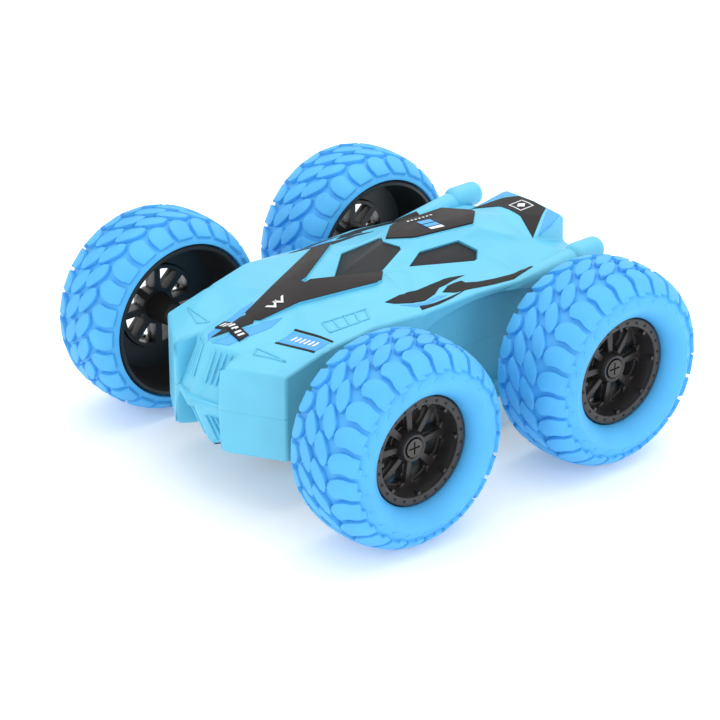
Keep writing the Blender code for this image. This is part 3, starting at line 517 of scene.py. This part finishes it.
def rim(tag, body, side):
    """A rim with its barrel, hub, windows and spokes, and dark dots round its outer ring, painted shade for
    the small notches there.
    """
    bm = bmesh.new()
    x, r = FLANGE_X / MM, FLANGE_RADIUS / MM
    lip = arc_points(x - 0.5, r - 0.5, 0.5, 90, 0, 4) + arc_points(x - 0.45, r - 2.2, 0.45, 0, -90, 4)
    barrel = lip + [(8.8, 13.6), (8.2, 13.3), (4.4, 12.9), (2.2, 12.9), (1.3, 13.6), (0.9, 19.9),
                    (-12.8, 22.4), (-13.4, 22.8), (-13.4, 23.6), (-12.8, 24.0), (2.6, 21.4), (4.0, 17.4),
                    (7.4, 17.0), (x - 1.2, r)]
    turned(bm, barrel, 96)
    hub = [(3.4, 5.5), (6.0, 4.7), (7.3, 4.3), (7.7, 4.0), (7.7, 3.5), (7.4, 3.1), (6.2, 3.0), (6.2, 1.8),
           (-8.0, 1.8), (-8.0, 3.4), (-7.4, 3.8), (1.6, 4.8)]
    turned(bm, hub, 48)
    step = math.tau / WINDOW_COUNT
    for index in range(WINDOW_COUNT):
        window_frame(bm, 4.6, 13.3, step / 2 + 0.004, (index + 0.5) * step, 0.4, 3.4, 1.15)
        raised_spoke(bm, index * step)
        key = bmesh.ops.create_cube(bm, size=1)["verts"]
        bmesh.ops.scale(bm, vec=(1.6 * MM, 1.1 * MM, 1.5 * MM), verts=key)
        bmesh.ops.translate(bm, vec=(9.0 * MM, 0, 13.6 * MM), verts=key)
        bmesh.ops.rotate(bm, cent=(0, 0, 0), matrix=Matrix.Rotation(index * step, 3, "X"), verts=key)
    to_wheel(bm, CENTRES[body], side)
    piece = finish_piece(f"rim_detailed_{tag}", bm, RIM_BLACK, body, 40)
    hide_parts(f"rim_{tag}")

    # Dark dots round the flange: painted shade standing in for its small notches, not cut as recesses
    bm = bmesh.new()
    for index in range(DOT_COUNT):
        angle = (index + 0.5) * math.tau / DOT_COUNT
        dot = bmesh.ops.create_cone(bm, cap_ends=True, segments=10, radius1=0.5 * MM, radius2=0.42 * MM,
                                    depth=0.3 * MM, matrix=Matrix.Rotation(math.radians(90), 4, "Y"))["verts"]
        bmesh.ops.translate(bm, vec=(x * MM + 0.02 * MM, 0, (r - 1.45) * MM), verts=dot)
        bmesh.ops.rotate(bm, cent=(0, 0, 0), matrix=Matrix.Rotation(angle, 3, "X"), verts=dot)
    to_wheel(bm, CENTRES[body], side)
    finish_piece(f"rim_notch_shade_dots_{tag}", bm, PRINT_AND_NOTCH_SHADE_BLACK, body, 30)


# ---------------------------------------------------------------- body

def body_cage(level):
    """One half of the body as a closed, edge-rounded solid whose panel areas keep their group number."""
    bm = bmesh.new()
    made = {}
    for side in (1, -1):
        for group, face_names in enumerate(FACE_GROUPS):
            if level < 0 and group == ROOF:
                group = 0
            for names in face_names:
                ring = []
                for name in names:
                    x, y, z = CORNERS[name]
                    key = (name, side if x else 0)
                    if key not in made:
                        place = (x * side * MM, y * MM, AXLE_Z + level * max(z * MM, PARTING_GAP))
                        made[key] = bm.verts.new(place)
                    ring.append(made[key])
                for piece in ([ring] if len(ring) != 4 else [ring[:3], [ring[0], ring[2], ring[3]]]):
                    bm.faces.new(piece).material_index = group
    bmesh.ops.recalc_face_normals(bm, faces=bm.faces)
    parting = AXLE_Z + level * PARTING_GAP

    def is_feature(edge):
        one, other = edge.link_faces
        on_panel = one.material_index or other.material_index
        on_parting = all(abs(vert.co.z - parting) < 1e-6 for vert in edge.verts)
        return not on_panel and not on_parting and edge.calc_face_angle() > math.radians(5)

    bmesh.ops.bevel(bm, geom=[edge for edge in bm.edges if is_feature(edge)], offset=EDGE_ROUND, segments=3,
                    profile=0.5, affect="EDGES", material=0, clamp_overlap=True)
    return bm


def seat_panel(bm, group, border, depth, taper=None):
    """Frame a panel's area with a border and raise it, or sink it, to seat the panel. A taper
    gives the two y places, in millimetres, between which the full depth is reached."""
    faces = [face for face in bm.faces if face.material_index == group]
    ring = bmesh.ops.inset_region(bm, faces=faces, thickness=border * MM, depth=0, use_boundary=True,
                                  use_even_offset=True)["faces"]
    for face in ring:
        face.material_index = 0
    if not depth:
        return
    grown = bmesh.ops.extrude_face_region(bm, geom=faces)["geom"]
    bmesh.ops.delete(bm, geom=faces, context="FACES")
    tops = {item for item in grown if isinstance(item, bmesh.types.BMFace)}
    push = {}
    for face in tops:
        for vert in face.verts:
            push[vert] = push.get(vert, Vector()) + face.normal
    for vert, normal in push.items():
        share = 1.0
        if taper:
            share = min(1.0, max(0.08, (vert.co.y / MM - taper[0]) / (taper[1] - taper[0])))
        vert.co += normal.normalized() * depth * share * MM
    for face in bm.faces:
        if face.material_index == group and face not in tops:
            face.material_index = 0
    walls = [edge for edge in {e for f in ring for e in f.edges}
             if any(f.material_index == 0 and f not in ring for f in edge.link_faces)
             and edge.calc_face_angle(0) > math.radians(60)]
    bevel_all(bm, walls, min(0.18, 0.5 * border) * MM, 2)


def panel_sheet(cage, group, side, gap, lift):
    """The panel's own surface: its seat, drawn in a little and lifted clear."""
    bm = cage.copy()
    outside = [face for face in bm.faces if face.material_index != group
               or (side and face.calc_center_median().x * side < 0)]
    bmesh.ops.delete(bm, geom=outside, context="FACES")
    border = bmesh.ops.inset_region(bm, faces=bm.faces[:], thickness=gap * MM, depth=0, use_boundary=True,
                                    use_even_offset=True)["faces"]
    bmesh.ops.delete(bm, geom=border, context="FACES")
    bm.normal_update()
    for vert in bm.verts:
        vert.co += vert.normal * lift * MM
    return bm


def panel(name, node, cage, group, side, gap, thickness, material):
    """A dark panel of the body, given its thickness and small edge rounds."""
    piece = finish_piece(name, panel_sheet(cage, group, side, gap, 0.02), material, "root", 30)
    add_modifier(piece, "SOLIDIFY", thickness=thickness * MM, offset=1)
    add_modifier(piece, "BEVEL", width=0.16 * MM, segments=2, limit_method="ANGLE",
                 angle_limit=math.radians(40))
    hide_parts(node)
    return piece


def box_tool(low, high):
    """A box between two corners, in millimetres from the car's centre."""
    bm = bmesh.new()
    bmesh.ops.create_cube(bm, size=1)
    low, high = Vector(low) * MM, Vector(high) * MM
    bmesh.ops.scale(bm, vec=high - low, verts=bm.verts)
    bmesh.ops.translate(bm, vec=(low + high) / 2 + Vector((0, 0, AXLE_Z)), verts=bm.verts)
    return bm


def rod_tool(axis, centre, radius, length, segments=32, round_end=0.0):
    """A bar of millimetre sizes along X, Y or Z, with its ends rounded if asked."""
    bm = bmesh.new()
    turn = {"X": Matrix.Rotation(math.radians(90), 4, "Y"), "Y": Matrix.Rotation(math.radians(-90), 4, "X"),
            "Z": Matrix.Identity(4)}[axis]
    bmesh.ops.create_cone(bm, cap_ends=True, segments=segments, radius1=radius * MM, radius2=radius * MM,
                          depth=length * MM, matrix=turn)
    if round_end:
        rims = [edge for edge in bm.edges if any(len(face.verts) > 4 for face in edge.link_faces)]
        bmesh.ops.bevel(bm, geom=rims, offset=round_end * MM, segments=6, profile=0.5, affect="EDGES",
                        material=-1)
    bmesh.ops.translate(bm, vec=Vector(centre) * MM + Vector((0, 0, AXLE_Z)), verts=bm.verts)
    return bm


def pod_ridge(side, level):
    """The ridge that runs forward from a tail pod and sinks into the shoulder."""
    x, y, z = POD_PLACE
    bm = bmesh.new()
    bmesh.ops.create_cone(bm, cap_ends=True, segments=32, radius1=RIDGE_FRONT_RADIUS * MM, radius2=3.5 * MM,
                          depth=1.0)
    front = Vector((side * (x - 1.0), RIDGE_START, level * RIDGE_HEIGHT)) * MM
    rear = Vector((side * x, y - 4.0, level * (z - 0.5))) * MM
    for vert in bm.verts:
        vert.co.z *= (rear - front).length
    bmesh.ops.rotate(bm, cent=(0, 0, 0), matrix=(rear - front).to_track_quat("Z", "X").to_matrix(),
                     verts=bm.verts)
    bmesh.ops.translate(bm, vec=(front + rear) / 2 + Vector((0, 0, AXLE_Z)), verts=bm.verts)
    return bm


def recess_tool(side, level):
    """The arched recess in a side wall, as a solid to cut away."""
    bm = bmesh.new()
    wall = bm.faces.new([bm.verts.new((side * RECESS_X * MM, y * MM, AXLE_Z + level * z * MM))
                         for y, z in SIDE_RECESS])
    grown = bmesh.ops.extrude_face_region(bm, geom=[wall], use_keep_orig=True)["geom"]
    bmesh.ops.translate(bm, vec=(side * 16 * MM, 0, 0),
                        verts=[item for item in grown if isinstance(item, bmesh.types.BMVert)])
    bmesh.ops.recalc_face_normals(bm, faces=bm.faces)
    back = [edge for edge in bm.edges if all(abs(abs(v.co.x) - RECESS_X * MM) < 1e-7 for v in edge.verts)
            and max(abs(v.co.z - AXLE_Z) for v in edge.verts) > 2 * MM]
    bmesh.ops.bevel(bm, geom=back, offset=1.2 * MM, segments=3, profile=0.5, affect="EDGES", material=-1)
    return bm


def carve(piece, shapes):
    """Cut away or add solids, and keep the result as the piece's mesh."""
    tools = []
    for operation, bm in shapes:
        mesh = bpy.data.meshes.new("tool")
        bm.to_mesh(mesh)
        bm.free()
        tool = bpy.data.objects.new("tool", mesh)
        bpy.context.scene.collection.objects.link(tool)
        tools.append(tool)
        add_modifier(piece, "BOOLEAN", operation=operation, solver="MANIFOLD", object=tool)
    graph = bpy.context.evaluated_depsgraph_get()
    mesh = bpy.data.meshes.new_from_object(piece.evaluated_get(graph))
    piece.modifiers.clear()
    piece.data = mesh
    for tool in tools:
        bpy.data.objects.remove(tool, do_unlink=True)
    mesh.shade_smooth()
    mesh.set_sharp_from_angle(angle=math.radians(35))


def shell_tools(level):
    """Rooms, bores, screw holes, side recesses and tail pods of one shell."""
    tools = []
    for half, front, rear, depth in (UPPER_ROOMS if level > 0 else LOWER_ROOMS):
        low, high = sorted((-level * 1.0, level * depth))
        tools.append(("DIFFERENCE", box_tool((-half, front, low), (half, rear, high))))
    for end in (-1, 1):
        axle_y = (CENTRES["wheel_rear_left"].y * end) / MM
        tools.append(("DIFFERENCE", rod_tool("X", (0, axle_y, 0), AXLE_BORE, 80)))
    for side in (1, -1):
        x, y, z = POD_PLACE
        tools.append(("UNION", pod_ridge(side, level)))
        tools.append(("UNION", rod_tool("Y", (side * x, y - 2.8, level * z), POD_RADIUS, 12.4, 32, 2.6)))
        tools.append(("DIFFERENCE", recess_tool(side, level)))
        for x, y in SCREW_PLACES:
            depth = 23 if level < 0 else 13
            tools.append(("DIFFERENCE", rod_tool("Z", (side * x, y, level * 2.5), SCREW_BORE, depth, 20)))
            if level < 0:
                tools.append(("DIFFERENCE", rod_tool("Z", (side * x, y, -24.6), SCREW_WELL, 30.8, 28)))
    for (x0, y0), (x1, y1), z in (DOOR_BOX, SWITCH_BOX) if level < 0 else ():
        tools.append(("DIFFERENCE", box_tool((x0, y0, -40), (x1, y1, -z))))
    return tools


def body_shells():
    """Both shells with their panels: returns the shells, and all the pieces that carry prints."""
    shells, pieces = [], []
    for level_name, level in LEVELS:
        cage = body_cage(level)
        seat_panel(cage, HOOD, 0.25, 0.8, (-50.0, -36.0))
        seat_panel(cage, SCREEN, 0.3, -0.7)
        seat_panel(cage, GLASS, 0.3, -1.0)
        if level > 0:
            seat_panel(cage, ROOF, 0.3, 0.35)
        pieces.append(panel(f"hood_vee_{level_name}", f"hood_panel_{level_name}",
                            cage, HOOD, 0, 0.05, 0.22, TRIM_BROWN))
        pieces.append(panel(f"windscreen_dark_{level_name}", f"windscreen_{level_name}",
                            cage, SCREEN, 0, 0.06, 0.3, GLASS_DARK))
        for side_name, side in SIDES:
            pieces.append(panel(f"window_{side_name}_{level_name}", f"side_window_{side_name}_{level_name}",
                                cage, GLASS, side, 0.15, 0.3, GLASS_DARK))
        if level > 0:
            pieces.append(panel("roof_plate", "roof_panel", cage, ROOF, 0, 0.1, 0.55, TRIM_BROWN))
        for face in cage.faces:
            face.material_index = 0
        shell = finish_piece(f"{level_name}_shell_moulded", cage, SHELL_CYAN, "root")
        carve(shell, shell_tools(level))
        add_modifier(shell, "WEIGHTED_NORMAL", keep_sharp=True)
        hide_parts(f"{level_name}_shell")
        shells.append(shell)
        pieces.append(shell)
    return shells, pieces


def nose_ribs():
    """Slanted ribs on the two nose faces above and below the ridge."""
    edges = [[Vector(CORNERS[name]) for name in names]
             for names in (("nose_ridge", "nose_ridge_side"), ("nose_tip", "nose_top_side"))]
    for level_name, level in LEVELS:
        bm = bmesh.new()
        for side in (1, -1):
            for share in (0.30, 0.47, 0.64, 0.81):
                foot, head = [start.lerp(end, share) for start, end in edges]
                place = [Vector((side * p.x, p.y, level * p.z)) * MM + Vector((0, 0, AXLE_Z))
                         for p in (foot.lerp(head, 0.34), foot.lerp(head, 0.93))]
                rib = bmesh.ops.create_cube(bm, size=1)["verts"]
                direction = place[1] - place[0]
                bmesh.ops.scale(bm, vec=(0.75 * MM, 0.9 * MM, direction.length), verts=rib)
                turn = direction.to_track_quat("Z", "Y").to_matrix()
                bmesh.ops.rotate(bm, cent=(0, 0, 0), matrix=turn, verts=rib)
                bmesh.ops.translate(bm, vec=(place[0] + place[1]) / 2, verts=rib)
        bevel_all(bm, bm.edges[:], 0.2 * MM, 2)
        finish_piece(f"nose_ribs_{level_name}", bm, SHELL_CYAN, "root")


def surface_tree(pieces):
    """The finished body's surface, for laying prints on it."""
    graph = bpy.context.evaluated_depsgraph_get()
    points, faces = [], []
    for piece in pieces:
        mesh = piece.evaluated_get(graph).to_mesh()
        offset = len(points)
        points += [piece.matrix_world @ vert.co for vert in mesh.vertices]
        faces += [[offset + index for index in face.vertices] for face in mesh.polygons]
    return BVHTree.FromPolygons(points, faces)


def print_patch(name, outlines, material, tree, level=1, lift=0.06, thickness=0.08):
    """A thin print laid on the body: flat outlines in millimetres, dropped onto the surface."""
    bm = bmesh.new()
    for outline in outlines:
        bm.faces.new([bm.verts.new((px * MM, py * MM, 0)) for px, py in outline])
    low = Vector((min(v.co.x for v in bm.verts), min(v.co.y for v in bm.verts), 0))
    high = Vector((max(v.co.x for v in bm.verts), max(v.co.y for v in bm.verts), 0))
    for axis in (0, 1):
        normal = Vector((axis == 0, axis == 1, 0))
        position = low[axis] + PRINT_GRID
        while position < high[axis]:
            bmesh.ops.bisect_plane(bm, geom=bm.verts[:] + bm.edges[:] + bm.faces[:],
                                   plane_co=normal * position, plane_no=normal, dist=1e-7)
            position += PRINT_GRID
    for vert in bm.verts:
        start = Vector((vert.co.x, vert.co.y, AXLE_Z + level * 60 * MM))
        hit = tree.ray_cast(start, Vector((0, 0, -level)))[0]
        vert.co.z = (hit.z if hit else AXLE_Z) + level * lift * MM
    bmesh.ops.recalc_face_normals(bm, faces=bm.faces)
    for face in bm.faces:
        if face.normal.z * level < 0:
            face.normal_flip()
    piece = finish_piece(name, bm, material, "root", 50)
    add_modifier(piece, "SOLIDIFY", thickness=thickness * MM, offset=1)
    return piece


def strip(start, end, width):
    """A straight bar between two points, as an outline."""
    a, b = Vector(start), Vector(end)
    across = Vector((-(b - a).y, (b - a).x)).normalized() * width / 2
    return [tuple(a + across), tuple(a - across), tuple(b - across), tuple(b + across)]


def slanted(x, y, width, height, lean):
    """A small leaning block centred on a point."""
    return [(x - width / 2 - lean, y - height / 2), (x + width / 2 - lean, y - height / 2),
            (x + width / 2 + lean, y + height / 2), (x - width / 2 + lean, y + height / 2)]


def flipped(outline):
    """The outline's mirror image, in the same winding."""
    return [(-px, py) for px, py in outline][::-1]


def both(outlines):
    """The outlines with their mirror images on the car's other side."""
    return outlines + [flipped(outline) for outline in outlines]


def prints(body, shells):
    """Painted and embossed marks, the same above and below. The marks round the tip of the hood
    panel are laid on the shells alone, the others on the body with its panels."""
    for level_name, level in LEVELS:
        def lay(name, outlines, material, lift=0.06, thickness=0.06, tree=body):
            print_patch(f"{name}_{level_name}", outlines, material, tree, level, lift, thickness)

        blade = [(22.2, -14.5), (23.6, -12.0), (24.9, -7.0), (25.2, -1.5), (24.2, 3.0), (22.6, 6.0),
                 (22.4, 9.0), (20.8, 17.5), (20.2, 12.0), (20.3, 5.0), (20.6, -2.0), (21.2, -8.0)]
        band = [(23.0, 9.0), (22.8, 14.5), (24.0, 15.0), (25.0, 19.0), (25.4, 25.0), (25.4, 31.0),
                (25.0, 39.5), (26.8, 39.5), (27.7, 31.0), (27.8, 23.0), (27.4, 16.0), (26.4, 9.0),
                (24.6, 5.5)]
        edge_line = [(26.6, -5.0), (28.0, -5.4), (28.3, 1.0), (27.8, 7.0), (26.8, 12.5), (27.2, 5.0),
                     (27.2, 0.0)]
        lay("side_swoosh", both([blade, band, edge_line]), PRINT_AND_NOTCH_SHADE_BLACK)
        tint = [(24.4, -11.0), (26.6, -6.4), (26.6, 0.0), (26.2, 6.0), (25.2, 3.0), (25.8, -2.0),
                (25.4, -7.0)]
        lay("side_tint", both([tint]), PRINT_SKY, 0.04, 0.05)

        inner_x, inner_y = CHEVRON_INNER[level_name]
        chevron = [(-14.3, 50.8), (-inner_x, inner_y), (inner_x, inner_y), (14.3, 50.8),
                   (6.2, 63.6), (-6.2, 63.6)]
        lay("tail_chevron", [chevron], PRINT_AND_NOTCH_SHADE_BLACK)
        tail_corner = [(7.2, 63.8), (14.2, 53.2), (13.6, 59.0), (12.4, 63.8)]
        lay("tail_tint", both([tail_corner]), PRINT_SKY, 0.04, 0.05)
        frame_lines = [strip((-2.6, 56.4), (2.6, 56.4), 0.4), strip((2.6, 56.2), (2.6, 61.8), 0.4),
                       strip((2.6, 61.6), (-2.6, 61.6), 0.4), strip((-2.6, 61.8), (-2.6, 56.2), 0.4)]
        if level > 0:
            lay("tail_mark", frame_lines + [[(0, 57.3), (1.5, 59.0), (0, 60.7), (-1.5, 59.0)]], PRINT_WHITE,
                0.16)

        spike = [(0.9, -61.0), (4.9, -57.9), (5.6, -53.0), (7.4, -44.5), (6.8, -39.8), (4.4, -44.6),
                 (2.6, -51.0)]
        lay("hood_tint", both([spike]), PRINT_SKY, 0.04, 0.05, shells)
        lay("hood_band", [[(-5.6, -54.8), (5.6, -54.8), (5.6, -51.2), (-5.6, -51.2)]], PRINT_AND_NOTCH_SHADE_BLACK, lift=0.0,
            thickness=0.45, tree=shells)
        teeth = [slanted(-4.2 + 1.4 * i, -53.0, 0.75, 2.0, 0.25) for i in range(7)]
        lay("hood_band_marks", teeth, PRINT_WHITE, 0.5, tree=shells)
        arrow = [(0.6, -41.5), (3.4, -39.4), (0.6, -37.3), (0.6, -38.2), (2.2, -39.4), (0.6, -40.6)]
        lay("hood_arrows", [arrow, [(px, py + 2.6) for px, py in arrow]], PRINT_WHITE, 0.16)

        bars = [strip((13.2, -40.6), (26.4, -37.2), 0.75), strip((13.2, -47.6), (26.0, -43.6), 0.75)]
        lay("fender_bars", bars, PRINT_AND_NOTCH_SHADE_BLACK)
        lay("fender_tint", [[(13.4, -46.9), (25.8, -43.1), (26.0, -38.2), (13.4, -41.3)]], PRINT_SKY,
            0.04, 0.05)
        dashes = [slanted(16.2 + 1.45 * i, -43.2 + 0.42 * i, 0.7, 2.2, 0.2) for i in range(6)]
        lay("fender_marks", dashes, PRINT_WHITE, 0.14)

        outlines = [strip((11.2, -52.8), (13.4, -55.4), 0.45), strip((13.4, -55.4), (23.0, -51.6), 0.45),
                    strip((23.0, -51.6), (11.2, -52.8), 0.45)]
        ladder = [strip((17.5, -34.0), (21.5, -21.0), 0.45), strip((22.5, -35.0), (25.5, -23.0), 0.45)]
        ladder += [strip((17.5 + i, -34.0 + 3.25 * i), (22.5 + 0.75 * i, -35.0 + 3.0 * i), 0.45)
                   for i in range(5)]
        lay("fender_emboss", both(outlines) + ladder, SHELL_CYAN, -0.05, 0.32)
    blocks = [slanted(x, 21.5, width, 4.6, 0.3) for x, width in ((-1.6, 2.2), (1.0, 2.0), (3.4, 1.7))]
    print_patch("roof_blocks", blocks[:2], PRINT_SKY, body, 1, 0.14, 0.06)
    print_patch("roof_block_white", blocks[2:], PRINT_WHITE, body, 1, 0.14, 0.06)
    lines = [slanted(-4.6, 17.2 + 1.5 * i, 0.5, 0.8, 0.0) for i in range(7)]
    print_patch("roof_dashes", lines, PRINT_WHITE, body, 1, 0.14, 0.06)


# ---------------------------------------------------------------- other nodes

def dress_nodes():
    """Carried-over CAD nodes take their finish here."""
    finishes = (("axle_gear", NYLON), ("idler", NYLON), ("cluster", NYLON), ("motor_pinion", BRASS),
                ("bush", BRASS), ("motor", PLATED_STEEL), ("axle", PLATED_STEEL), ("hub_screw", SCREW_STEEL),
                ("shell_screw", SCREW_STEEL), ("door_screw", SCREW_STEEL), ("gear_frame", FRAME_BLACK),
                ("antenna", FRAME_BLACK), ("switch_knob", FRAME_BLACK), ("power_switch", PLATED_STEEL),
                ("battery_door", SHELL_CYAN), ("battery", CELL_GREEN), ("circuit_board", BOARD_GREEN))
    for name, node in NODES.items():
        for start, material in finishes:
            if name.startswith(start):
                node.data.materials.clear()
                node.data.materials.append(material)
                break


# ---------------------------------------------------------------- studio

def studio():
    """Floor, light and camera."""
    bm = bmesh.new()
    bmesh.ops.create_grid(bm, x_segments=1, y_segments=1, size=3)
    mesh = bpy.data.meshes.new("studio_floor")
    bm.to_mesh(mesh)
    bm.free()
    floor = bpy.data.objects.new("studio_floor", mesh)
    bpy.context.scene.collection.objects.link(floor)
    paper = bpy.data.materials.new("floor_paper")
    paper.use_nodes = True
    shader = paper.node_tree.nodes["Principled BSDF"]
    shader.inputs["Base Color"].default_value = (0.93, 0.94, 0.96, 1)
    shader.inputs["Roughness"].default_value = 0.7
    shader.inputs["Emission Color"].default_value = (1, 1, 1, 1)
    shader.inputs["Emission Strength"].default_value = 0.2
    mesh.materials.append(paper)

    world = bpy.data.worlds.new("studio_world")
    world.use_nodes = True
    background = world.node_tree.nodes["Background"]
    background.inputs["Color"].default_value = (1, 1, 1, 1)
    background.inputs["Strength"].default_value = 0.95
    bpy.context.scene.world = world

    lamps = (("top_softbox", (-0.1, 0.35, 1.3), 1.8, 8.0, (1, 1, 1)),
             ("front_softbox", (-0.3, -1.3, 0.7), 0.9, 2, (0.98, 0.99, 1)),
             ("side_softbox", (1.4, 0.1, 0.6), 0.8, 3.5, (1, 1, 1)))
    for name, place, size, power, colour in lamps:
        lamp = bpy.data.lights.new(name, "AREA")
        lamp.size = size
        lamp.energy = power
        lamp.color = colour
        holder = bpy.data.objects.new(name, lamp)
        holder.location = place
        aim = Vector((0, 0, AXLE_Z)) - Vector(place)
        holder.rotation_euler = aim.to_track_quat("-Z", "Y").to_euler()
        bpy.context.scene.collection.objects.link(holder)

    camera = bpy.data.cameras.new("studio_camera")
    camera.lens = VIEW_LENS
    camera.sensor_width = 36
    camera.shift_x, camera.shift_y = VIEW_SHIFT
    camera.clip_start = 0.01
    camera.clip_end = 20
    holder = bpy.data.objects.new("studio_camera", camera)
    back = Vector((math.sin(VIEW_AZIMUTH) * math.cos(VIEW_ELEVATION),
                   -math.cos(VIEW_AZIMUTH) * math.cos(VIEW_ELEVATION), math.sin(VIEW_ELEVATION)))
    holder.location = VIEW_AIM + back * VIEW_DISTANCE
    holder.rotation_euler = (-back).to_track_quat("-Z", "Y").to_euler()
    bpy.context.scene.collection.objects.link(holder)
    bpy.context.scene.camera = holder
    bpy.context.scene.view_settings.view_transform = "Standard"


studio()
for end_name in ENDS:
    for side_name, side_sign in SIDES:
        tyre(f"{end_name}_{side_name}", f"wheel_{end_name}_{side_name}", side_sign)
        rim(f"{end_name}_{side_name}", f"wheel_{end_name}_{side_name}", side_sign)
bare_shells, body_pieces = body_shells()
nose_ribs()
bpy.context.view_layer.update()
prints(surface_tree(body_pieces), surface_tree(bare_shells))
dress_nodes()
